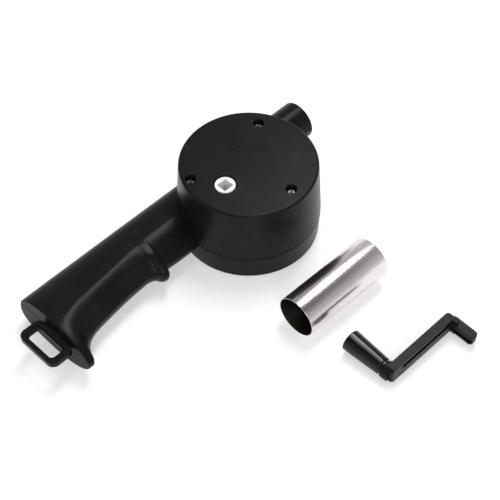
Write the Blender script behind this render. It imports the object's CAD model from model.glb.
import math
import bmesh
import bpy
from mathutils import Matrix, Vector


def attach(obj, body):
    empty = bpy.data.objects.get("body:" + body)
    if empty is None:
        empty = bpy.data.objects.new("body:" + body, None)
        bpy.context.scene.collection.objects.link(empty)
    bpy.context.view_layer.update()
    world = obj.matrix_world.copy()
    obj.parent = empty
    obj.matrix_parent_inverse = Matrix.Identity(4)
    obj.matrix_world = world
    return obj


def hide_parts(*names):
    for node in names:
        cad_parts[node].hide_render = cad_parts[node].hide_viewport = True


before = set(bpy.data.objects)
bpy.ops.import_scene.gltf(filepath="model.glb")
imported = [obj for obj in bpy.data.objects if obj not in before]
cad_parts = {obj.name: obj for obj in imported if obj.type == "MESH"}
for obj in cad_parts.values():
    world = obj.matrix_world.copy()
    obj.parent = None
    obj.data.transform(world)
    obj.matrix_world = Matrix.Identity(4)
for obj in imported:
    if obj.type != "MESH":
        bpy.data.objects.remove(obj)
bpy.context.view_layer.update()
print("frame loaded,", len(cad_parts), "nodes")

scene = bpy.context.scene
scene.view_settings.view_transform = "Standard"


class Wire:
    # an output socket of a material; the operators add Math nodes
    def __init__(self, tree, out):
        self.tree, self.out = tree, out

    def node(self, kind, settings=None, inputs=None, out=0):
        made = self.tree.nodes.new("ShaderNode" + kind)
        for name, value in (settings or {}).items():
            if name == "stops":                       # a ramp's (place, grey or colour) list
                ramp = made.color_ramp.elements
                while len(ramp) < len(value):
                    ramp.new(0.5)
                for stop, (place, shade) in zip(ramp, value):
                    stop.position = place
                    stop.color = (shade, shade, shade, 1) if isinstance(shade, (int, float)) else (*shade, 1)
            else:
                setattr(made, name, value)
        for name, value in (inputs or {}).items():
            socket = made.inputs[name]
            if isinstance(value, Wire):
                self.tree.links.new(value.out, socket)
            else:
                socket.default_value = value
        return Wire(self.tree, made.outputs[out])

    def math(self, operation, first, second=0.0):
        return self.node("Math", {"operation": operation}, {0: first, 1: second})

    def __add__(self, other): return self.math("ADD", self, other)
    def __radd__(self, other): return self.math("ADD", other, self)
    def __sub__(self, other): return self.math("SUBTRACT", self, other)
    def __rsub__(self, other): return self.math("SUBTRACT", other, self)
    def __mul__(self, other): return self.math("MULTIPLY", self, other)
    def __rmul__(self, other): return self.math("MULTIPLY", other, self)

    def noise(self, scale, detail=2.0, roughness=0.5, stretch=(1, 1, 1)):
        spread = self.node("Mapping", None, {"Vector": self, "Scale": stretch})
        return self.node("TexNoise", None, {"Vector": spread, "Scale": scale, "Detail": detail, "Roughness": roughness})

    def step(self, low, high, start=0.0, end=1.0):
        return self.node("MapRange", {"clamp": True},
                         {"Value": self, "From Min": low, "From Max": high, "To Min": start, "To Max": end})

    def blend(self, first, second):
        # self is the mask between two colours
        return self.node("Mix", {"data_type": "RGBA"}, {"Factor": self, 6: first, 7: second}, out=2)

    def bump(self, strength, distance, onto=None):
        inputs = {"Height": self, "Strength": strength, "Distance": distance}
        if onto:
            inputs["Normal"] = onto
        return self.node("Bump", None, inputs)


def newMaterial(name, **constants):
    made = bpy.data.materials.new(name)
    made.use_nodes = True
    shader = made.node_tree.nodes["Principled BSDF"]
    for socket, value in constants.items():
        shader.inputs[socket.replace("_", " ")].default_value = value
    tree = made.node_tree
    coords = Wire(tree, tree.nodes.new("ShaderNodeTexCoord").outputs["Object"])
    return made, coords, shader


def plug(shader, **wires):
    for socket, wire in wires.items():
        shader.id_data.links.new(wire.out, shader.inputs[socket.replace("_", " ")])


def colour(*values):
    return (*values, 1.0)


plastic = {
    "cloudSpan": (0.35, 0.65), "dustSpan": (0.62, 0.74), "dustShade": (0.30, 0.30, 0.32),
    "scuffSpan": (0.66, 0.72), "scuffStretch": (1, 5, 1),
    "flowSpan": (0.56, 0.74), "flowStretch": (1, 1, 16), "flowShade": (0.10, 0.10, 0.11),
    "cloudRough": 0.08, "grainRough": 0.06, "dustRough": 0.10, "scuffPolish": 0.08,
    "grainDepth": 0.0002, "wave": 0.10, "waveDepth": 0.0008,
}


def mouldedPlastic(name, settings):
    made, at, shader = newMaterial(name, Specular_IOR_Level=settings["specular"])
    p = plastic
    cloud = at.noise(settings["cloudScale"], 3.0, 0.6)            # slow change of shade
    grain = at.noise(settings["grainScale"], 2.0, 0.6)            # eroded texture of the mould
    dust = at.noise(settings["dustScale"], 6.0, 0.75).step(*p["dustSpan"])                      # dust and rub marks
    scuffs = at.noise(settings["scuffScale"], 4.0, 0.7, p["scuffStretch"]).step(*p["scuffSpan"])
    flow = at.noise(settings["flowScale"], 4.0, 0.7, p["flowStretch"]).step(*p["flowSpan"])     # level flow lines
    shade = cloud.step(*p["cloudSpan"]).blend(colour(*settings["dark"]), colour(*settings["light"]))
    shade = (dust * settings["dust"]).blend(shade, colour(*p["dustShade"]))
    shade = (flow * settings["flow"]).blend(shade, colour(*p["flowShade"]))
    rough = settings["roughness"] + (cloud - 0.5) * p["cloudRough"] + (grain - 0.5) * p["grainRough"]
    rough = rough + dust * p["dustRough"] - scuffs * p["scuffPolish"]
    relief = grain.bump(settings["bump"], p["grainDepth"])
    relief = at.noise(settings["waveScale"], 1.0).bump(p["wave"], p["waveDepth"], relief)       # slight sink marks
    plug(shader, Base_Color=shade, Roughness=rough, Normal=relief)
    return made


blackAbs = mouldedPlastic("blackAbs", {
    "dark": (0.0058, 0.0056, 0.0070), "light": (0.0085, 0.0083, 0.0102), "roughness": 0.29, "specular": 0.105,
    "cloudScale": 28.0, "grainScale": 2600.0, "dustScale": 260.0, "scuffScale": 150.0, "waveScale": 55.0,
    "flowScale": 45.0, "flow": 0.10, "dust": 0.10, "bump": 0.16})
crankNylon = mouldedPlastic("crankNylon", {
    "dark": (0.0068, 0.0066, 0.0084), "light": (0.0100, 0.0098, 0.0120), "roughness": 0.36, "specular": 0.12,
    "cloudScale": 60.0, "grainScale": 3200.0, "dustScale": 300.0, "scuffScale": 200.0, "waveScale": 90.0,
    "flowScale": 60.0, "flow": 0.03, "dust": 0.10, "bump": 0.22})
knobGloss = mouldedPlastic("knobGloss", {
    "dark": (0.0030, 0.0030, 0.0036), "light": (0.0048, 0.0048, 0.0056), "roughness": 0.07, "specular": 0.30,
    "cloudScale": 40.0, "grainScale": 2000.0, "dustScale": 350.0, "scuffScale": 160.0, "waveScale": 120.0,
    "flowScale": 60.0, "flow": 0.0, "dust": 0.04, "bump": 0.03})
fanPlastic = mouldedPlastic("fanPlastic", {
    "dark": (0.018, 0.018, 0.020), "light": (0.026, 0.026, 0.029), "roughness": 0.45, "specular": 0.40,
    "cloudScale": 50.0, "grainScale": 2400.0, "dustScale": 240.0, "scuffScale": 160.0, "waveScale": 80.0,
    "flowScale": 60.0, "flow": 0.05, "dust": 0.12, "bump": 0.15})


cloudSpan = (0.3, 0.7)                                            # of nylon and metals, which vary less sharply


def naturalNylon(name, settings):
    made, at, shader = newMaterial(name, Specular_IOR_Level=settings["specular"])
    cloud = at.noise(settings["cloudScale"], 3.0, 0.6)
    grain = at.noise(settings["grainScale"], 2.0)
    specks = at.noise(settings["speckScale"], 2.0, 0.8).step(*settings["speckSpan"])
    shade = cloud.step(*cloudSpan).blend(colour(*settings["cool"]), colour(*settings["warm"]))
    shade = (specks * settings["specks"]).blend(shade, colour(*settings["speckShade"]))
    plug(shader, Base_Color=shade, Roughness=settings["roughness"] + (cloud - 0.5) * settings["cloudRough"],
         Normal=grain.bump(settings["bump"], settings["grainDepth"]))
    return made


whiteNylon = naturalNylon("whiteNylon", {
    "cool": (0.72, 0.72, 0.77), "warm": (0.80, 0.79, 0.82), "roughness": 0.34, "specular": 0.5,
    "cloudScale": 70.0, "cloudRough": 0.12, "grainScale": 1800.0, "bump": 0.08, "grainDepth": 0.0002,
    "speckScale": 900.0, "speckSpan": (0.70, 0.78), "specks": 0.25, "speckShade": (0.45, 0.44, 0.46)})


steel = {"spotSpan": (0.66, 0.76), "spotRough": 0.10, "lineDepth": 0.0001}


def metal(name, settings):
    made, at, shader = newMaterial(name, Metallic=1.0)
    cloud = at.noise(settings["cloudScale"], 3.0, 0.6)
    lines = at.noise(settings["lineScale"], 3.0, 0.6, settings["lineStretch"])
    spots = at.noise(settings["spotScale"], 5.0, 0.8).step(*steel["spotSpan"])
    shade = cloud.step(*cloudSpan).blend(colour(*settings["dark"]), colour(*settings["light"]))
    shade = (spots * settings["spots"]).blend(shade, colour(*settings["spotShade"]))
    rough = settings["roughness"] + (lines - 0.5) * settings["lines"] + spots * steel["spotRough"]
    plug(shader, Base_Color=shade, Roughness=rough, Normal=lines.bump(settings["bump"], steel["lineDepth"]))
    return made


alongPipe, everyWay = (0.04, 1, 1), (1, 1, 1)                     # stretch of the fine lines
brightSteel = metal("brightSteel", {
    "dark": (0.70, 0.635, 0.630), "light": (0.79, 0.725, 0.720), "roughness": 0.23, "lines": 0.03, "bump": 0.004,
    "cloudScale": 30.0, "lineScale": 700.0, "lineStretch": alongPipe, "spotScale": 200.0, "spots": 0.12,
    "spotShade": (0.45, 0.40, 0.38)})
oiledSteel = metal("oiledSteel", {
    "dark": (0.066, 0.055, 0.048), "light": (0.100, 0.083, 0.073), "roughness": 0.42, "lines": 0.10, "bump": 0.02,
    "cloudScale": 60.0, "lineScale": 700.0, "lineStretch": alongPipe, "spotScale": 200.0, "spots": 0.15,
    "spotShade": (0.020, 0.015, 0.012)})
screwSteel = metal("screwSteel", {
    "dark": (0.16, 0.16, 0.17), "light": (0.24, 0.24, 0.25), "roughness": 0.26, "lines": 0.12, "bump": 0.08,
    "cloudScale": 300.0, "lineScale": 2500.0, "lineStretch": everyWay, "spotScale": 600.0, "spots": 0.30,
    "spotShade": (0.06, 0.06, 0.06)})
zincSteel = metal("zincSteel", {
    "dark": (0.52, 0.52, 0.53), "light": (0.64, 0.63, 0.62), "roughness": 0.24, "lines": 0.14, "bump": 0.10,
    "cloudScale": 300.0, "lineScale": 2500.0, "lineStretch": everyWay, "spotScale": 600.0, "spots": 0.20,
    "spotShade": (0.30, 0.28, 0.26)})
sinteredBronze = metal("sinteredBronze", {
    "dark": (0.46, 0.29, 0.13), "light": (0.58, 0.38, 0.18), "roughness": 0.38, "lines": 0.16, "bump": 0.18,
    "cloudScale": 400.0, "lineScale": 3000.0, "lineStretch": everyWay, "spotScale": 1500.0, "spots": 0.5,
    "spotShade": (0.16, 0.09, 0.04)})
print("materials ready")


making = {"past": 0.002, "into": 0.001, "air": 0.0003, "soft": 0.0003,      # tool overshoot, overlap, clearance, edge
          "bend": 0.3, "weld": 2e-6, "sharp": 32.0, "evenWeight": 90, "level": 0.99995, "outside": (-0.01, 0.1)}
past, into, air, soft = making["past"], making["into"], making["air"], making["soft"]
bend = soft * making["bend"]                                      # where a soft edge is broken once


def asObject(shape, name, recalc=True):
    if recalc:
        bmesh.ops.recalc_face_normals(shape, faces=shape.faces)
    mesh = bpy.data.meshes.new(name)
    shape.to_mesh(mesh)
    shape.free()
    item = bpy.data.objects.new(name, mesh)
    scene.collection.objects.link(item)
    return item


def arcPoints(centre, radius, start, end, steps):
    turns = [math.radians(start + (end - start) * i / steps) for i in range(steps + 1)]
    return [(centre[0] + radius * math.cos(a), centre[1] + radius * math.sin(a)) for a in turns]


def spun(profile, segments, place=(0.0, 0.0), closed=False):
    # turns a (radius, height) line about an upright axis
    shape = bmesh.new()
    dots = [shape.verts.new((radius, 0.0, height)) for radius, height in profile]
    lines = [shape.edges.new(pair) for pair in zip(dots, dots[1:])]
    if closed:
        lines.append(shape.edges.new((dots[-1], dots[0])))
    bmesh.ops.spin(shape, geom=dots + lines, axis=(0, 0, 1), cent=(0, 0, 0), steps=segments,
                   angle=math.tau, use_merge=True)
    bmesh.ops.remove_doubles(shape, verts=shape.verts, dist=1e-6)
    bmesh.ops.translate(shape, verts=shape.verts, vec=(*place, 0.0))
    return shape


def slab(low, high):
    shape = bmesh.new()
    bmesh.ops.create_cube(shape, size=1.0)
    size = [high[i] - low[i] for i in range(3)]
    middle = [(high[i] + low[i]) / 2 for i in range(3)]
    bmesh.ops.scale(shape, verts=shape.verts, vec=size)
    bmesh.ops.translate(shape, verts=shape.verts, vec=middle)
    return shape


def plate(outline, bottom, top):
    shape = bmesh.new()
    face = shape.faces.new([shape.verts.new((x, y, bottom)) for x, y in outline])
    grown = bmesh.ops.extrude_face_region(shape, geom=[face])["geom"]
    bmesh.ops.translate(shape, verts=[v for v in grown if isinstance(v, bmesh.types.BMVert)], vec=(0, 0, top - bottom))
    bmesh.ops.recalc_face_normals(shape, faces=shape.faces)
    return shape


def moved(shape, matrix):
    bmesh.ops.transform(shape, matrix=matrix, verts=shape.verts)
    return shape


def roundEdges(shape, width, segments=3, sharper=30.0):
    lines = [e for e in shape.edges if len(e.link_faces) == 2 and e.calc_face_angle(0.0) > math.radians(sharper)]
    bmesh.ops.bevel(shape, geom=lines, affect="EDGES", offset=width, offset_type="OFFSET", segments=segments,
                    profile=0.5, material=-1, clamp_overlap=True)
    return shape


def baked(item):
    mesh = bpy.data.meshes.new_from_object(item.evaluated_get(bpy.context.evaluated_depsgraph_get()))
    item.modifiers.clear()
    spent = item.data
    item.data = mesh
    bpy.data.meshes.remove(spent)
    return item


def carve(body, operation, *tools):
    for tool in tools:
        step = body.modifiers.new("carve", "BOOLEAN")
        step.operation, step.solver, step.object = operation, "MANIFOLD", tool
        baked(body)
        bpy.data.objects.remove(tool, do_unlink=True)
    return body


def joinedShapes(shapes):
    # separate closed forms in one tool
    whole = bmesh.new()
    for shape in shapes:
        mesh = bpy.data.meshes.new("part")
        bmesh.ops.recalc_face_normals(shape, faces=shape.faces)
        shape.to_mesh(mesh)
        shape.free()
        whole.from_mesh(mesh)
        bpy.data.meshes.remove(mesh)
    return asObject(whole, "tool", recalc=False)


def band(item, bottom, top, name):
    twin = bpy.data.objects.new(name, item.data.copy())
    scene.collection.objects.link(twin)
    return carve(twin, "INTERSECT", asObject(slab((-1, -1, bottom), (1, 1, top)), "tool"))


def sharpenLevels(mesh):
    # level faces keep one clean normal up to their border
    shape = bmesh.new()
    shape.from_mesh(mesh)
    for edge in shape.edges:
        if len({abs(face.normal.z) > making["level"] for face in edge.link_faces}) == 2:
            edge.smooth = False
    shape.to_mesh(mesh)
    shape.free()


def dress(item, name, material, body, node, weighted=True):
    item.name = item.data.name = name
    shape = bmesh.new()
    shape.from_mesh(item.data)
    bmesh.ops.remove_doubles(shape, verts=shape.verts, dist=making["weld"])
    bmesh.ops.dissolve_degenerate(shape, edges=shape.edges, dist=making["weld"])
    shape.to_mesh(item.data)
    shape.free()
    item.data.materials.clear()
    item.data.materials.append(material)
    item.data.shade_smooth()
    item.data.set_sharp_from_angle(angle=math.radians(making["sharp"]))
    sharpenLevels(item.data)
    if weighted:
        even = item.modifiers.new("even", "WEIGHTED_NORMAL")
        even.keep_sharp, even.weight = True, making["evenWeight"]
        baked(item)
    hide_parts(node)
    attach(item, body)
    print(name, len(item.data.polygons), "faces")
    return item


def smoothValue(points, place):
    # a smooth curve through (place, value) points
    last = len(points) - 1
    slopes = [(points[min(i + 1, last)][1] - points[max(i - 1, 0)][1])
              / (points[min(i + 1, last)][0] - points[max(i - 1, 0)][0]) for i in range(last + 1)]
    i = max([k for k in range(last) if points[k][0] <= place] or [0])
    (x0, y0), (x1, y1) = points[i], points[i + 1]
    width = x1 - x0
    t = min(max((place - x0) / width, 0.0), 1.0)
    rise = (1 + 2 * t) * (1 - t) ** 2 * y0 + t * t * (3 - 2 * t) * y1
    return rise + width * (t * (1 - t) ** 2 * slopes[i] + t * t * (t - 1) * slopes[i + 1])


def eased(t):
    t = min(max(t, 0.0), 1.0)
    return t * t * (3 - 2 * t)


def row(start, step, count):
    return [start + step * i for i in range(count)]


def pillar(radius, bottom, top, place, segments=40):
    return spun([(0, bottom), (radius, bottom), (radius, top), (0, top)], segments, place)


drum = {
    "baseRadius": 0.0464, "seamRadius": 0.0471, "topRadius": 0.0448, "height": 0.0575, "rim": 0.0017,
    "baseRim": 0.0008, "segments": 168,
    "partingZ": 0.0176, "coverSeamZ": 0.0415, "gap": 0.0003, "seamGap": 0.00045, "wall": 0.0022,
    "chamberTop": 0.0285, "floorTop": 0.0305, "coverUnder": 0.0553,
    "lowLip": (0.0010, 0.00065), "highLip": (0.0006, 0.00050),            # reach and depth of the rounded seam edges
    "coverLowLip": (0.0004, 0.00010), "coverHighLip": (0.0003, 0.00010), "coverGap": 0.00008,
}
spout = {"radius": 0.0134, "wall": 0.0021, "y": 0.0313, "z": 0.0150, "start": 0.010, "tip": 0.0797, "edge": 0.0005,
         "edgeShares": (0.0, 0.3, 0.6, 0.85, 1.0), "segments": 96}
grip = {
    "middleZ": 0.0150, "half": 0.0130, "backY": 0.0436, "start": 0.0140, "end": 0.1567, "endLean": 5.0,
    "endWall": 0.0024, "endEdge": 0.0008, "pastEnd": 0.008, "turns": 104, "turnGap": 0.7,
    "ridge": ((0.014, 0.0215), (0.050, 0.0203), (0.077, 0.0196), (0.097, 0.0172), (0.124, 0.0142), (0.136, 0.0128),
              (0.162, 0.0060)),
    "finger": ((0.014, 0.0), (0.060, 0.0), (0.086, 0.0012), (0.104, 0.0002), (0.120, -0.0018), (0.136, -0.0046),
               (0.1445, -0.0088), (0.1490, -0.0145), (0.1520, -0.0214), (0.162, -0.0216)),
    "crease": 1.5, "creaseTurn": 40, "crown": 2.5, "fullness": 2.8,       # 2 is an ellipse, less pinches, more squares
    "stopPlace": 0.0772, "stopHeight": 0.0066, "stopHalf": 0.0036, "stopSquare": 0.8, "stopRoot": 0.85,
    "stopLong": 0.0110, "stopReach": 92.0, "stopStart": 3.2, "stopLift": 0.18,
    "firstRows": (0.030, 0.045), "rows": ((0.050, 0.002, 9), (0.0895, 0.0025, 20), (0.1390, 0.0015, 10)),
    "stopRows": ((-0.0048, 0.0003, 28), (0.0038, 0.0007, 12)), "lastRow": 0.1532,
    "hollowTurns": 40,
    "hollowRows": (0.060, 0.082, 0.104, 0.120, 0.134, 0.139, 0.143, 0.1462, 0.1485, 0.1505, 0.1522),
}
lipShares = (0.0, 0.35, 0.6, 0.8, 0.92, 0.985)


def lip(z):
    # how far the surface draws in next to the parting seam
    off = z - drum["partingZ"]
    reach, depth = drum["lowLip"] if off < 0 else drum["highLip"]
    t = max(0.0, 1 - abs(off) / reach)
    return depth * (1 - math.sqrt(max(0.0, 1 - t * t)))


def seamPoints(radiusAt, z, low, high):
    points = [(radiusAt(z - low[0] * (1 - t)) - low[1] * (1 - math.sqrt(1 - t * t)), z - low[0] * (1 - t))
              for t in lipShares]
    return points + [(radiusAt(z + high[0] * (1 - t)) - high[1] * (1 - math.sqrt(1 - t * t)), z + high[0] * (1 - t))
                     for t in reversed(lipShares)]


def drumRadius(z):
    low, seam, top = drum["baseRadius"], drum["seamRadius"], drum["topRadius"]
    if z < drum["partingZ"]:
        return low + (seam - low) * z / drum["partingZ"]
    return seam + (top - seam) * (z - drum["partingZ"]) / (drum["height"] - drum["partingZ"])


def drumForm():
    rim, height = drum["rim"], drum["height"]
    baseRim = drum["baseRim"]
    profile = [(0.0, 0.0), *arcPoints((drum["baseRadius"] - baseRim, baseRim), baseRim, -90, 0, 5)]
    profile += seamPoints(drumRadius, drum["partingZ"], drum["lowLip"], drum["highLip"])
    profile += seamPoints(drumRadius, drum["coverSeamZ"], drum["coverLowLip"], drum["coverHighLip"])
    profile += [*arcPoints((drum["topRadius"] - rim, height - rim), rim, 4, 90, 6), (0.0, height)]
    return asObject(spun(profile, drum["segments"]), "drumForm")


def seamTurns(middle, half, count):
    # angles round a section, closer together next to the parting seam
    turns = [360.0 * i / count - 180.0 for i in range(count)]
    close = []
    for reach, sign in ((drum["lowLip"][0], -1), (drum["highLip"][0], 1)):
        for share in lipShares:
            lift = (drum["partingZ"] + sign * reach * (1 - share) - middle) / half
            close += [math.degrees(math.asin(lift)), 180 - math.degrees(math.asin(lift))]
    close = [turn if turn < 180 else turn - 360 for turn in close]
    turns = [turn for turn in turns if min(abs(turn - c) for c in close) > grip["turnGap"]]
    return sorted(turns + close)


def stopRise(place, turn):
    # a rounded bead towards the drum, hollowed out towards the hand
    off = place - grip["stopPlace"]
    bead = math.sqrt(max(0.0, 1 - (off / grip["stopHalf"]) ** 2)) ** grip["stopSquare"]
    root = grip["stopRoot"] * max(0.0, 1 - off / grip["stopLong"]) ** 2 if off > 0 else 0.0
    around = min(1.0, grip["stopStart"] * eased(1 - abs(turn) / grip["stopReach"]))
    return grip["stopHeight"] * max(bead, root) * around


def curve(share, fullness):
    return math.copysign(abs(share) ** (2 / fullness), share)


def gripPoint(place, turn, inset, detailed):
    ridge = smoothValue(grip["ridge"], place)
    finger, back = smoothValue(grip["finger"], place) + inset, grip["backY"] - inset
    reach = ridge - finger if abs(turn) < 90 else back - ridge
    rise = stopRise(place, turn) if detailed else 0.0
    across, up = math.cos(math.radians(turn)), math.sin(math.radians(turn))
    if up > 0:
        pinch = grip["crease"] + (2 - grip["crease"]) * eased(1 - turn / grip["creaseTurn"])
        fullness = pinch if across > 0 else grip["crown"]
    else:
        fullness = 2.0 if across > 0 else grip["fullness"]
    y = ridge - (reach + rise) * curve(across, fullness)
    z = grip["middleZ"] + (grip["half"] - inset + rise * grip["stopLift"]) * curve(up, fullness)
    if detailed:
        y += lip(z) * (1 if y < ridge else -1)
    return -place, y, z


def lofted(places, turns, pointAt):
    # circles bridged one to the next, each shaped by pointAt
    shape = bmesh.new()
    before = None
    for place in places:
        ring = bmesh.ops.create_circle(shape, cap_ends=False, radius=1.0, segments=len(turns))["verts"]
        for dot, turn in zip(ring, turns):
            dot.co = pointAt(place, turn)
        lines = list({e for dot in ring for e in dot.link_edges if all(v in ring for v in e.verts)})
        if before:
            bmesh.ops.bridge_loops(shape, edges=before + lines)
        before = [e for e in lines if e.is_valid]
    bmesh.ops.holes_fill(shape, edges=shape.edges, sides=0)
    bmesh.ops.recalc_face_normals(shape, faces=shape.faces)
    return shape


def endPlane(place):
    lean = math.radians(grip["endLean"])
    return (-place, 0.0, grip["middleZ"]), (-math.cos(lean), 0.0, math.sin(lean))


def endedAt(shape, place, edge=0.0):
    # cuts the grip off on the leaning end plane and rounds the new edge
    at, normal = endPlane(place)
    cut = bmesh.ops.bisect_plane(shape, geom=shape.verts[:] + shape.edges[:] + shape.faces[:], plane_co=at,
                                 plane_no=normal, clear_outer=True)["geom_cut"]
    rim = [part for part in cut if isinstance(part, bmesh.types.BMEdge)]
    bmesh.ops.holes_fill(shape, edges=rim, sides=0)
    bmesh.ops.recalc_face_normals(shape, faces=shape.faces)
    if edge:
        bmesh.ops.bevel(shape, geom=[e for e in rim if e.is_valid], affect="EDGES", offset=edge, segments=4,
                        profile=0.5, material=-1)
    return shape


def gripForm():
    places = [grip["start"], *grip["firstRows"]]
    for start, step, count in grip["rows"]:
        places += row(start, step, count)
    for start, step, count in grip["stopRows"]:
        places += row(grip["stopPlace"] + start, step, count)
    places = sorted({round(p, 5) for p in places if p < grip["lastRow"]})
    places += [grip["lastRow"], grip["end"] + grip["pastEnd"]]
    turns = seamTurns(grip["middleZ"], grip["half"], grip["turns"])
    shape = lofted(places, turns, lambda place, turn: gripPoint(place, turn, 0.0, True))
    return asObject(endedAt(shape, grip["end"], grip["endEdge"]), "gripForm")


def gripHollow():
    places = [grip["start"], *grip["hollowRows"], grip["end"] + grip["pastEnd"]]
    turns = [360.0 * i / grip["hollowTurns"] - 180.0 for i in range(grip["hollowTurns"])]
    shape = lofted(places, turns, lambda place, turn: gripPoint(place, turn, drum["wall"], False))
    return asObject(endedAt(shape, grip["end"] - grip["endWall"]), "tool")


def spoutForm(radius, start, end, edge=0.0, lips=True):
    def pointAt(place, turn):
        near = max(0.0, 1 - (end - place) / edge) if edge else 0.0
        inset = edge * (1 - math.sqrt(max(0.0, 1 - near ** 2)))
        y = -(radius - inset) * math.cos(math.radians(turn))
        z = spout["z"] + (radius - inset) * math.sin(math.radians(turn))
        if lips:
            y += lip(z) * (1 if y < 0 else -1)
        return place, spout["y"] + y, z

    count = spout["segments"]
    places = [start, *([end - edge * (1 - s) for s in spout["edgeShares"]] if edge else [end])]
    turns = seamTurns(spout["z"], radius, count) if lips else [360.0 * i / count - 180.0 for i in range(count)]
    return asObject(lofted(places, turns, pointAt), "tool")


gears = {"fan": (0.0, 0.0), "drive": (-0.023305, -0.002602), "centres": 0.0216}
fan, drive = Vector(gears["fan"]), Vector(gears["drive"])
span = fan - drive
idler = drive + span / 2 + span.orthogonal().normalized() * math.sqrt(gears["centres"] ** 2 - (span.length / 2) ** 2)
screws = {
    "cover": ((0.02881, 0.01987), (-0.03541, 0.01619), (0.00342, -0.03423)), "coverBore": 0.0035,
    "coverBoreDepth": 0.0055, "coverBoreWall": 0.0012, "coverHead": (0.0029, 0.0019), "coverShank": 0.0014,
    "coverLength": 0.0150, "coverColumnWall": 0.0015,
    "drumRing": 0.0413, "drumTurns": (110, 215, 325), "gripPlaces": ((-0.0930, 0.0215), (-0.1400, 0.0155)),
    "shellBore": 0.0028, "shellSeat": 0.0060, "shellHead": (0.0024, 0.0017), "shellShank": 0.0012,
    "shellLength": 0.0160, "shellColumn": 0.0039, "drumColumnFoot": 0.0011, "gripColumn": (0.0031, 0.0269),
    "slotTurn": 0.7,                                              # from one screw's slot to the next, in radians
}
drumScrews = [(screws["drumRing"] * math.cos(math.radians(a)), screws["drumRing"] * math.sin(math.radians(a)))
              for a in screws["drumTurns"]]
shellScrews = [*drumScrews, *screws["gripPlaces"]]
recess = {"radius": 0.0154, "depth": 0.0003, "edge": 0.0002}
bosses = {
    "top": 0.0321, "pin": 0.0018, "wall": 0.0016, "bush": 0.0033, "journal": 0.0026, "hub": 0.00685,
    "hubRing": 0.0079, "hubRingDepth": 0.0009, "tail": 0.0052, "tailFoot": 0.0011, "tailTop": 0.0070,
    "tailSolid": 0.0026, "bushBottom": 0.0260, "collarBottom": 0.0520, "wheelsTop": 0.0451, "holeTop": 0.0540,
    "seat": 0.0293,
}


def housingRooms():
    # fan chamber and gear room
    d = drum
    chamber, gearRoom = d["baseRadius"] - d["wall"], d["topRadius"] - d["wall"]
    return joinedShapes([pillar(chamber, d["wall"], d["chamberTop"], (0.0, 0.0), d["segments"]),
                         pillar(gearRoom, d["floorTop"], d["coverUnder"], (0.0, 0.0), d["segments"])])


def housingPosts():
    d, s, b = drum, screws, bosses
    intoFloor, intoCover, pin = d["floorTop"] - into, d["coverUnder"] + into, b["pin"] + b["wall"]
    posts = [pillar(b["tail"], b["tailFoot"], b["tailTop"], fan),
             pillar(b["bush"] + b["wall"], b["bushBottom"], b["top"], fan),
             pillar(b["journal"] + b["wall"], intoFloor, b["top"], drive), pillar(pin, intoFloor, b["top"], idler),
             pillar(pin, b["wheelsTop"], intoCover, idler), pillar(pin, b["wheelsTop"], intoCover, fan),
             pillar(b["hub"] + b["wall"], b["collarBottom"], intoCover, drive, 64)]
    posts += [pillar(s["shellColumn"], *s["gripColumn"], place) for place in s["gripPlaces"]]
    posts += [pillar(s["shellColumn"], s["drumColumnFoot"], intoFloor, place) for place in drumScrews]
    seam, thin, wide = d["coverSeamZ"], s["coverShank"] + s["coverColumnWall"], s["coverBore"] + s["coverBoreWall"]
    column = [(0, intoFloor), (thin, intoFloor), (thin, seam), (wide, seam), (wide, intoCover), (0, intoCover)]
    return joinedShapes(posts + [spun(column, 40, place) for place in s["cover"]])


def housingHoles():
    d, s, b, top = drum, screws, bosses, drum["height"]
    holes = [pillar(b["bush"], b["tailSolid"], b["tailTop"] + past, fan),
             pillar(b["bush"], b["bushBottom"] - past, b["top"] + into, fan),
             pillar(b["journal"], b["seat"], b["top"] + into, drive),
             pillar(b["pin"], b["seat"], b["top"] + into, idler),
             pillar(b["pin"], b["wheelsTop"] - past, b["holeTop"], idler),
             pillar(b["pin"], b["wheelsTop"] - past, b["holeTop"], fan)]
    hub, around, step, low = b["hub"], b["hubRing"], top - b["hubRingDepth"], b["collarBottom"] - past
    holes.append(spun([(0, low), (hub, low), (hub, step), (around - soft, step), (around - soft, top - soft),
                       (around - soft + bend, top - bend), (around, top), (around, top + past),
                       (0, top + past)], 72, drive))
    seat, bore, pilot, low = top - s["coverBoreDepth"], s["coverBore"], s["coverShank"] + air, d["floorTop"] + air
    bored = [(0, low), (pilot, low), (pilot, seat), (bore, seat), (bore, top - soft),
             (bore + bend, top - bend), (bore + soft, top), (bore + soft, top + past), (0, top + past)]
    holes += [spun(bored, 48, place) for place in s["cover"]]
    pilot, bore, seat = s["shellShank"] + air, s["shellBore"], s["shellSeat"]
    deep = seat + s["shellLength"] + air
    bored = [(0, -past), (bore, -past), (bore, seat), (pilot, seat), (pilot, deep), (0, deep)]
    holes += [spun(bored, 40, place) for place in shellScrews]
    edge, rim, deep = recess["edge"], recess["radius"], top - recess["depth"]
    holes.append(spun([(0, deep), (rim - edge, deep), (rim, deep + edge), (rim, top - edge * 0.5),
                       (rim + edge * 0.5, top), (rim + edge * 0.5, top + past), (0, top + past)], 96))
    return joinedShapes(holes)


def housingForm():
    form = carve(gripForm(), "UNION", spoutForm(spout["radius"], spout["start"], spout["tip"], spout["edge"]))
    form = carve(form, "DIFFERENCE", gripHollow())
    form = carve(form, "UNION", drumForm())
    bore = spoutForm(spout["radius"] - spout["wall"], spout["start"], spout["tip"] + past, lips=False)
    form = carve(form, "DIFFERENCE", housingRooms(), bore)
    form = carve(form, "UNION", housingPosts())
    return carve(form, "DIFFERENCE", housingHoles())


intake = {"slots": 12, "half": 0.0016, "inner": 0.0112, "outer": 0.0245}


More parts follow.
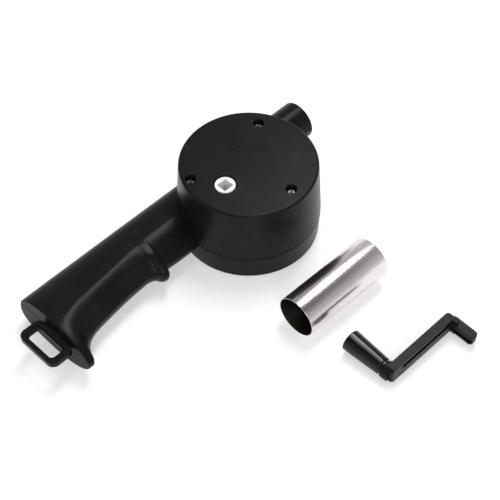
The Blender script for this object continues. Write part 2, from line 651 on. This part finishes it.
def intakeSlots():
    slotHalf = intake["half"]
    outline = (arcPoints((intake["outer"] - slotHalf, 0.0), slotHalf, -90, 90, 10)
               + arcPoints((intake["inner"] + slotHalf, 0.0), slotHalf, 90, 270, 10))
    return joinedShapes([moved(plate(outline, -past, drum["wall"] + into),
                               Matrix.Rotation(math.tau * i / intake["slots"], 4, "Z"))
                         for i in range(intake["slots"])])


housing = housingForm()
print("housing form carved")
half = drum["seamGap"] / 2
below, above = making["outside"]
lowerShell = carve(band(housing, below, drum["partingZ"] - half, "lowerShell"), "DIFFERENCE", intakeSlots())
upperShell = band(housing, drum["partingZ"] + half, drum["coverSeamZ"] - drum["coverGap"], "upperShell")
gearCover = band(housing, drum["coverSeamZ"] + drum["coverGap"], above, "gearCover")
bpy.data.objects.remove(housing, do_unlink=True)


ring = {
    "length": 0.0180, "width": 0.0328, "middleY": 0.0067, "thick": 0.0038, "bar": 0.0050, "outerBar": 0.0036,
    "corner": 0.0050, "bead": 0.0024, "step": 0.0008, "stepIn": 0.0012, "stepCorner": 0.001, "edge": 0.00035,
    "tongue": 0.0180, "foot": 0.0240,
}


def roundedOutline(low, high, radius, steps):
    corners = (((high[0] - radius, high[1] - radius), 0), ((low[0] + radius, high[1] - radius), 90),
               ((low[0] + radius, low[1] + radius), 180), ((high[0] - radius, low[1] + radius), 270))
    return [dot for centre, start in corners for dot in arcPoints(centre, radius, start, start + 90, steps)]


ringBottom = drum["partingZ"] + drum["gap"] / 2
ringRoot = -grip["end"] + math.tan(math.radians(grip["endLean"])) * (ringBottom - grip["middleZ"]) - drum["gap"]


def tongueOutline(grow):
    inner = -grip["end"] + grip["endWall"]
    x0, x1, x2 = ringRoot - ring["bar"] / 2, inner + 2 * drum["gap"], inner + 2 * drum["gap"] + grip["endWall"]
    halfTongue, halfFoot, y = ring["tongue"] / 2, ring["foot"] / 2, ring["middleY"]
    return [(x0, y - halfTongue - grow), (x1 - grow, y - halfTongue - grow), (x1 - grow, y - halfFoot - grow),
            (x2 + grow, y - halfFoot - grow), (x2 + grow, y + halfFoot + grow), (x1 - grow, y + halfFoot + grow),
            (x1 - grow, y + halfTongue + grow), (x0, y + halfTongue + grow)]


def strapRing():
    bottom, top, y, wide = ringBottom, ringBottom + ring["thick"], ring["middleY"], ring["width"] / 2
    left, right, bar, corner = ringRoot - ring["length"], ringRoot - ring["bar"], ring["bar"], ring["corner"] / 2
    outer = plate(roundedOutline((left, y - wide), (ringRoot, y + wide), ring["corner"], 12), bottom, top)
    inner = plate(roundedOutline((left + ring["outerBar"], y - wide + bar), (right, y + wide - bar), corner, 10),
                  bottom - past, top + past)
    loop = carve(asObject(outer, "strapRing"), "DIFFERENCE", asObject(inner, "tool"))
    bead, step = ring["bead"], ring["step"]
    outline = roundedOutline((left + bead, y - wide + bead), (right + ring["stepIn"], y + wide - bead),
                             corner + ring["stepCorner"], 10)
    for low, high in ((bottom - past, bottom + step), (top - step, top + past)):  # bars step down inside their bead
        loop = carve(loop, "DIFFERENCE", asObject(plate(outline, low, high), "tool"))
    shape = bmesh.new()
    shape.from_mesh(loop.data)
    bmesh.ops.dissolve_limit(shape, angle_limit=0.01, verts=shape.verts, edges=shape.edges)
    roundEdges(shape, ring["edge"], 3, 50.0)
    shape.to_mesh(loop.data)
    shape.free()
    return carve(loop, "UNION", asObject(roundEdges(plate(tongueOutline(0.0), bottom, top), soft, 2, 50.0), "tool"))


notch = plate(tongueOutline(drum["gap"]), ringBottom - past, ringBottom + ring["thick"] + drum["gap"])
carve(upperShell, "DIFFERENCE", asObject(notch, "tool"))
dress(lowerShell, "lowerShell", blackAbs, "housing", "lower_shell")
dress(upperShell, "upperShell", blackAbs, "housing", "upper_shell")
dress(gearCover, "gearCover", blackAbs, "housing", "gear_cover")
dress(strapRing(), "strapRing", blackAbs, "housing", "hanging_loop")


pipe = {"inner": 0.0136, "wall": 0.0004, "length": 0.0680, "place": (-0.0082, -0.0840), "turn": -1.0,
        "segments": 144, "rimSteps": 6, "insideShare": 0.2}


def steelPipe():
    inner, outer, long = pipe["inner"], pipe["inner"] + pipe["wall"], pipe["length"] / 2
    edge = pipe["wall"] / 2
    rimEnd = [(inner + edge - edge * math.cos(a), long - edge + edge * math.sin(a))
              for a in [math.pi * i / pipe["rimSteps"] for i in range(pipe["rimSteps"] + 1)]]
    profile = rimEnd + [(r, -z) for r, z in reversed(rimEnd)]
    shape = spun(profile, pipe["segments"], closed=True)
    bmesh.ops.recalc_face_normals(shape, faces=shape.faces)
    lay = Matrix.Translation((*pipe["place"], outer)) @ Matrix.Rotation(math.radians(pipe["turn"]), 4, "Z")
    return asObject(moved(shape, lay @ Matrix.Rotation(math.radians(90), 4, "Y")), "steelPipe")


tube = dress(steelPipe(), "steelPipe", brightSteel, "tube", "nozzle_tube", weighted=False)
tube.data.materials.append(oiledSteel)
axis = Vector((math.cos(math.radians(pipe["turn"])), math.sin(math.radians(pipe["turn"])), 0.0))
for face in tube.data.polygons:
    out = face.center - Vector((*pipe["place"], pipe["inner"] + pipe["wall"]))
    out -= axis * out.dot(axis)
    if out.length < pipe["inner"] + pipe["wall"] * pipe["insideShare"]:
        face.material_index = 1                                   # inside wall


cross = {"round": 0.42, "tip": 0.35, "tipTaper": 0.3, "tipLength": 1.4, "arm": 0.62, "armHalf": 0.14, "deep": 0.75,
         "narrow": 0.35, "turn": 20, "under": 0.0001}             # shares of the head or the shank


def crossScrew(head, height, shank, length, name):
    c, edge = cross, height * cross["round"]
    tip = [(0, -length), (shank * c["tip"], -length + shank * c["tipTaper"]), (shank, -length + shank * c["tipLength"])]
    crown = arcPoints((head - edge, height - edge), edge, -20, 82, 6)
    profile = [*tip, (shank, 0), (head - c["under"], 0), *crown, (0, height)]
    body = asObject(spun(profile, 48), name)
    arm, wide, deep = head * c["arm"], head * c["armHalf"], height * c["deep"]
    blades = []
    for turn in (0, 90):
        blade = slab((-arm, -wide, height - deep), (arm, wide, height + into))
        for dot in blade.verts:
            if dot.co.z < height:
                dot.co.x *= c["narrow"]                           # the recess narrows towards its bottom
        blades.append(asObject(moved(blade, Matrix.Rotation(math.radians(turn + c["turn"]), 4, "Z")), "tool"))
    return carve(body, "DIFFERENCE", carve(blades[0], "UNION", blades[1]))


def placeScrews(master, places, height, flipped, kind):
    for number, (x, y) in enumerate(places, 1):
        turn = Matrix.Rotation(math.pi, 4, "X") if flipped else Matrix.Identity(4)
        spin = Matrix.Rotation(screws["slotTurn"] * number, 4, "Z")
        item = bpy.data.objects.new("screw", master.data.copy())
        item.data.transform(Matrix.Translation((x, y, height)) @ turn @ spin)
        scene.collection.objects.link(item)
        dress(item, f"{kind}Screw{number}", screwSteel, "housing", f"{kind}_screw_{number}")
    bpy.data.objects.remove(master, do_unlink=True)


placeScrews(crossScrew(*screws["coverHead"], screws["coverShank"], screws["coverLength"], "coverScrew"),
            screws["cover"], drum["height"] - screws["coverBoreDepth"] + air, False, "cover")
placeScrews(crossScrew(*screws["shellHead"], screws["shellShank"], screws["shellLength"], "shellScrew"),
            shellScrews, screws["shellSeat"] - air, True, "shell")


crank = {
    "place": (-0.0273, -0.1463), "throw": 0.0550, "depth": 0.0125, "thick": 0.0059, "pastKnob": 0.0030,
    "pastPeg": 0.0006, "block": 0.0100, "edge": 0.0006, "endRound": 0.0026, "cornerRound": 0.0022, "endCorner": 0.0014,
    "atCorner": 0.9, "channel": 0.0030, "groove": 0.0040, "grooveTop": 0.0017,
    "shoulder": 0.0030, "shoulderLength": 0.0035, "shoulderSunk": (0.00005, 0.0001),
    "peg": 0.0070, "pegLength": 0.0170, "pegRound": 0.0024, "pegEdge": 0.0006, "slotWidth": 0.0030,
    "slotDepth": 0.0016, "slotStart": 0.0007, "toolEdge": 0.0004, "boss": 0.0060, "bossLength": 0.0019,
}
knob = {"neck": 0.0052, "neckLength": 0.0012, "neckEdge": 0.0002, "small": 0.0059, "big": 0.0073, "length": 0.0275,
        "edge": 0.0009, "recess": 0.0034, "recessDepth": 0.0040, "bore": 0.0020, "head": (0.0031, 0.0020),
        "shank": 0.0017, "bite": 0.0060, "segments": 128}
knobStart = crank["bossLength"] + drum["gap"]
knobEnd = knobStart + knob["neckLength"] + knob["length"]
crankTilt = math.atan2(knob["big"] - crank["depth"] / 2, knobEnd - knob["edge"] + crank["thick"])
crankLift = crank["depth"] / 2 * math.cos(crankTilt) + crank["thick"] * math.sin(crankTilt)
crankLay = Matrix.Translation((*crank["place"], crankLift)) @ Matrix.Rotation(crankTilt, 4, "X")
alongY = Matrix.Rotation(math.radians(-90), 4, "X")
flatToXz = Matrix.Rotation(math.radians(90), 4, "X")              # an outline in (x, z), grown towards -Y


def softTool(shape, edge, segments=3, sharper=30.0):
    return asObject(roundEdges(shape, edge, segments, sharper), "tool")


def armBar(left, right):
    c, tall, turn = crank, crank["depth"] / 2, crank["endRound"]
    outline = [(right, -tall), (right, tall), *arcPoints((left + turn, tall - turn), turn, 90, 180, 8),
               *arcPoints((left + turn, -tall + turn), turn, 180, 270, 8)]
    bar = moved(plate(outline, 0.0, c["thick"]), flatToXz)
    for x, y, reach in ((right, 0.0, c["cornerRound"]), (left, -c["thick"], c["endCorner"])):
        lines = [e for e in bar.edges
                 if all(abs(v.co.x - x) < turn * c["atCorner"] and abs(v.co.y - y) < 1e-6 for v in e.verts)]
        bmesh.ops.bevel(bar, geom=lines, affect="EDGES", offset=reach, segments=6, profile=0.5, material=-1)
    return asObject(roundEdges(bar, c["edge"], 3, 40.0), "crankArm")


def crankPeg():
    c, pegHalf, end = crank, crank["peg"] / 2, -crank["thick"] - crank["pegLength"]
    outline = roundedOutline((c["throw"] - pegHalf, end), (c["throw"] + pegHalf, -c["thick"] / 2), c["pegRound"], 8)
    peg = softTool(plate(outline, -pegHalf, pegHalf), c["pegEdge"], 4, 40.0)
    for side in (-1, 1):
        near, far = sorted((c["throw"] + side * (pegHalf - c["slotDepth"]), c["throw"] + side * (pegHalf + past)))
        slot = slab((near, end - past, -c["slotWidth"] / 2), (far, -c["thick"] - c["slotStart"], c["slotWidth"] / 2))
        carve(peg, "DIFFERENCE", softTool(slot, c["toolEdge"]))
    return peg


def crankArm():
    c, tall, thick = crank, crank["depth"] / 2, crank["thick"]
    left, right = -c["pastKnob"], c["throw"] + c["pastPeg"]
    arm = armBar(left, right)
    channel = slab((left + c["block"], -thick - past, tall - c["grooveTop"] - c["groove"]),
                   (c["throw"] - c["peg"] / 2 - air, -thick + c["channel"], tall - c["grooveTop"]))
    sunk, lower = c["shoulderSunk"]
    shoulder = slab((right - c["shoulder"], -thick - c["shoulderLength"], -tall + lower),
                    (right - sunk, -thick / 2, tall - lower))
    peg, face = crankPeg(), c["bossLength"]
    boss = moved(spun([(0, -thick / 2), (c["boss"], -thick / 2), (c["boss"], face - soft), (c["boss"] - soft, face),
                       (0, face)], 64), alongY)
    carve(arm, "DIFFERENCE", softTool(channel, c["toolEdge"]))
    carve(arm, "UNION", softTool(shoulder, c["toolEdge"]), peg, asObject(boss, "tool"))
    hole = pillar(knob["shank"] + air, face - knob["bite"] - air, face + past, (0.0, 0.0), 32)
    carve(arm, "DIFFERENCE", asObject(moved(hole, alongY), "tool"))
    arm.data.transform(crankLay)
    return arm


def crankKnob():
    k, shoulder, lead = knob, knobStart + knob["neckLength"], knob["neckEdge"]
    small = arcPoints((k["small"] - k["edge"], shoulder + k["edge"]), k["edge"], -90, 0, 8)
    big = arcPoints((k["big"] - k["edge"], knobEnd - k["edge"]), k["edge"], 4, 90, 8)
    mouth = arcPoints((k["recess"] + soft, knobEnd - soft), soft, 90, 180, 3)
    floorY = knobEnd - k["recessDepth"]
    neck = [(k["neck"] - lead, knobStart), (k["neck"], knobStart + lead), (k["neck"], shoulder)]
    profile = [(k["bore"], knobStart), *neck, *small, *big, *mouth, (k["recess"], floorY), (k["bore"], floorY)]
    return asObject(moved(spun(profile, k["segments"], closed=True), crankLay @ alongY), "crankKnob")


dress(crankArm(), "crankArm", crankNylon, "crank", "crank_arm")
dress(crankKnob(), "crankKnob", knobGloss, "knob", "crank_knob")
seat = knobEnd - knob["recessDepth"] + drum["gap"]
knobScrew = crossScrew(*knob["head"], knob["shank"], seat - (crank["bossLength"] - knob["bite"]), "knobScrew")
knobScrew.data.transform(crankLay @ Matrix.Translation((0, seat, 0)) @ alongY)
dress(knobScrew, "knobScrew", zincSteel, "crank", "knob_screw")


wheel = {"weld": 1e-6, "flat": 1.0, "edge": 0.00016, "sharper": 40.0}      # the CAD wheel with its edges softened


def driveWheel():
    shape = bmesh.new()
    shape.from_mesh(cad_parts["drive_gear"].data)
    bmesh.ops.remove_doubles(shape, verts=shape.verts, dist=wheel["weld"])
    bmesh.ops.dissolve_limit(shape, angle_limit=math.radians(wheel["flat"]), verts=shape.verts, edges=shape.edges)
    return asObject(roundEdges(shape, wheel["edge"], 2, wheel["sharper"]), "driveWheel")


dress(driveWheel(), "driveWheel", whiteNylon, "drive", "drive_gear")
inner = {whiteNylon: ("idler_gear", "fan_pinion"), fanPlastic: ("impeller",),
         sinteredBronze: ("floor_bush", "tail_bush"),
         zincSteel: ("fan_shaft", "idler_pin", "drive_washer", "idler_washer", "impeller_clip")}
for finish, nodes in inner.items():
    for node in nodes:
        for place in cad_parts[node].material_slots:
            place.material = finish
print("inner pieces finished")


studio = {
    "floorSize": 3.0, "floorDrop": 0.0002, "floorShade": (0.72, 0.72, 0.74), "floorLift": 0.37,
    "softer": 1.6,                                                # the sky's strength for diffuse rays
    "sky": ((0.0, 1.0), (0.18, 0.66), (0.55, 0.46), (0.88, 0.14)),        # (height, strength), white at the horizon
    "aim": (-0.04, -0.03, 0.02),
    "lamps": (("keyLamp", (0.47, 0.21, 1.10), (0.36, 0.64), 7.4),         # name, place, size, watts
              ("topLamp", (-0.05, 0.05, 1.20), (0.30, 0.30), 1.2),
              ("fillLamp", (-0.75, -0.95, 0.95), (0.5, 0.5), 5.0)),
}


def paleFloor():
    made = bpy.data.materials.new("paleFloor")
    made.use_nodes = True
    tree = made.node_tree
    tree.nodes.clear()
    rays = tree.nodes.new("ShaderNodeLightPath")
    kinds = [Wire(tree, rays.outputs[f"Is {kind} Ray"]) for kind in ("Camera", "Glossy", "Transmission")]
    seen = kinds[0] + kinds[1] + kinds[2]
    paper = seen.node("BsdfDiffuse", None, {"Color": colour(*studio["floorShade"])})
    strength = seen.step(0.0, 1.0, 0.0, studio["floorLift"])
    lift = seen.node("Emission", None, {"Color": colour(1, 1, 1), "Strength": strength})
    both = seen.node("AddShader", None, {0: paper, 1: lift})
    tree.links.new(both.out, tree.nodes.new("ShaderNodeOutputMaterial").inputs["Surface"])
    return made


floorShape = bmesh.new()
bmesh.ops.create_grid(floorShape, x_segments=2, y_segments=2, size=studio["floorSize"])
floor = asObject(floorShape, "floor", recalc=False)
floor.location.z = -studio["floorDrop"]
floor.data.materials.append(paleFloor())

world = bpy.data.worlds.new("studio")
scene.world = world
world.use_nodes = True
sky = world.node_tree
sky.nodes.clear()
toSky = Wire(sky, sky.nodes.new("ShaderNodeTexCoord").outputs["Generated"])
height = toSky.node("SeparateXYZ", None, {"Vector": toSky}, out=2)
shade = height.node("ValToRGB", {"stops": studio["sky"]}, {"Fac": height})
camRay = Wire(sky, sky.nodes.new("ShaderNodeLightPath").outputs["Is Camera Ray"])
diffuse = Wire(sky, sky.nodes.new("ShaderNodeLightPath").outputs["Is Diffuse Ray"])
strength = shade * (1.0 + diffuse * (studio["softer"] - 1.0)) + camRay * (1.0 - shade)
backdrop = camRay.node("Background", None, {"Color": colour(1, 1, 1), "Strength": strength})
sky.links.new(backdrop.out, sky.nodes.new("ShaderNodeOutputWorld").inputs["Surface"])

for name, place, size, power in studio["lamps"]:
    lamp = bpy.data.lights.new(name, "AREA")
    lamp.shape, lamp.size, lamp.size_y, lamp.energy = "RECTANGLE", *size, power
    holder = bpy.data.objects.new(name, lamp)
    holder.location = place
    holder.rotation_euler = (Vector(studio["aim"]) - Vector(place)).to_track_quat("-Z", "Y").to_euler()
    scene.collection.objects.link(holder)

view = {"place": (-0.4185, -0.4197, 0.7160), "right": (0.7071, -0.7071, 0.0), "up": (0.5540, 0.5540, 0.6214),
        "forward": (0.4394, 0.4394, -0.7835), "lens": 100.8, "sensor": 36.0, "nearest": 0.01}
eye = bpy.data.cameras.new("camera")
eye.lens, eye.sensor_width, eye.clip_start = view["lens"], view["sensor"], view["nearest"]
camera = bpy.data.objects.new("camera", eye)
axes = Matrix((view["right"], view["up"], [-v for v in view["forward"]])).transposed()
camera.matrix_world = Matrix.Translation(view["place"]) @ axes.to_4x4()
scene.collection.objects.link(camera)
scene.camera = camera
print("studio set")
